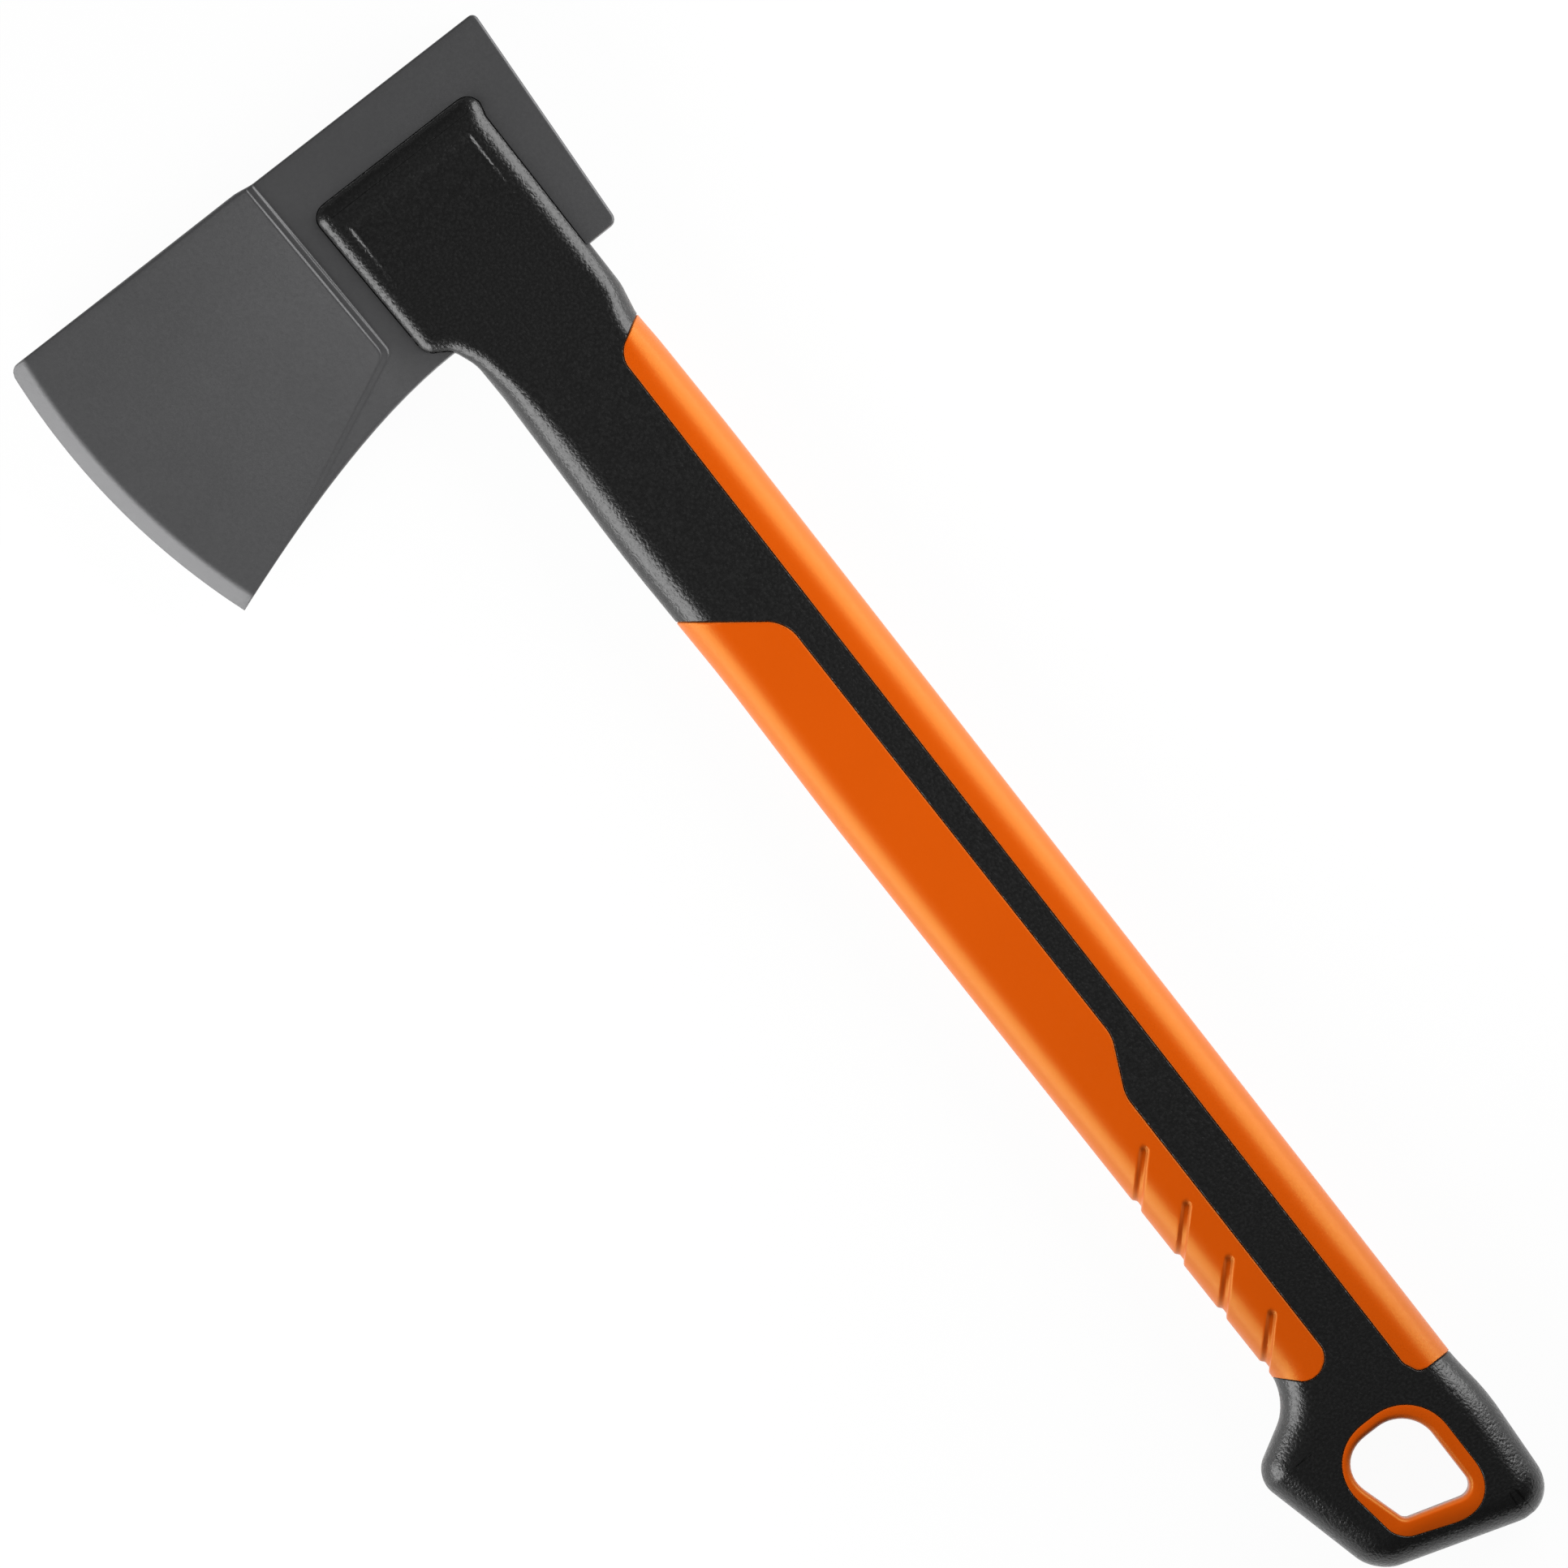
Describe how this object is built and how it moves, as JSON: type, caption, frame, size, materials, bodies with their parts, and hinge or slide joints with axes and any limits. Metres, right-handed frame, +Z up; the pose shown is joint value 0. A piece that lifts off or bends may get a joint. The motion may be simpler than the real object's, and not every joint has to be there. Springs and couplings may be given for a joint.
{
  "type": "felling axe",
  "caption": "Felling axe with a forged wedge head moulded into a hollow fibre-filled nylon handle, with soft orange grips and a lined hang hole.",
  "frame": {"origin": "bottom centre of the axe's box, with the axe lying on its side on a flat surface", "axes": "+X from the top of the head to the knob, +Y from the cutting edge to the poll, +Z up, through the axe's thickness"},
  "size_m": [0.602, 0.1934, 0.028],
  "materials": {
    "coated_steel": "satin",
    "black_nylon": "matte",
    "orange_elastomer": "matte"
  },
  "bodies": {
    "root": {"axe_head": "coated_steel", "handle_body": "black_nylon", "belly_grip": "orange_elastomer", "back_grip": "orange_elastomer", "hang_hole_liner": "orange_elastomer"}
  },
  "joints": []
}
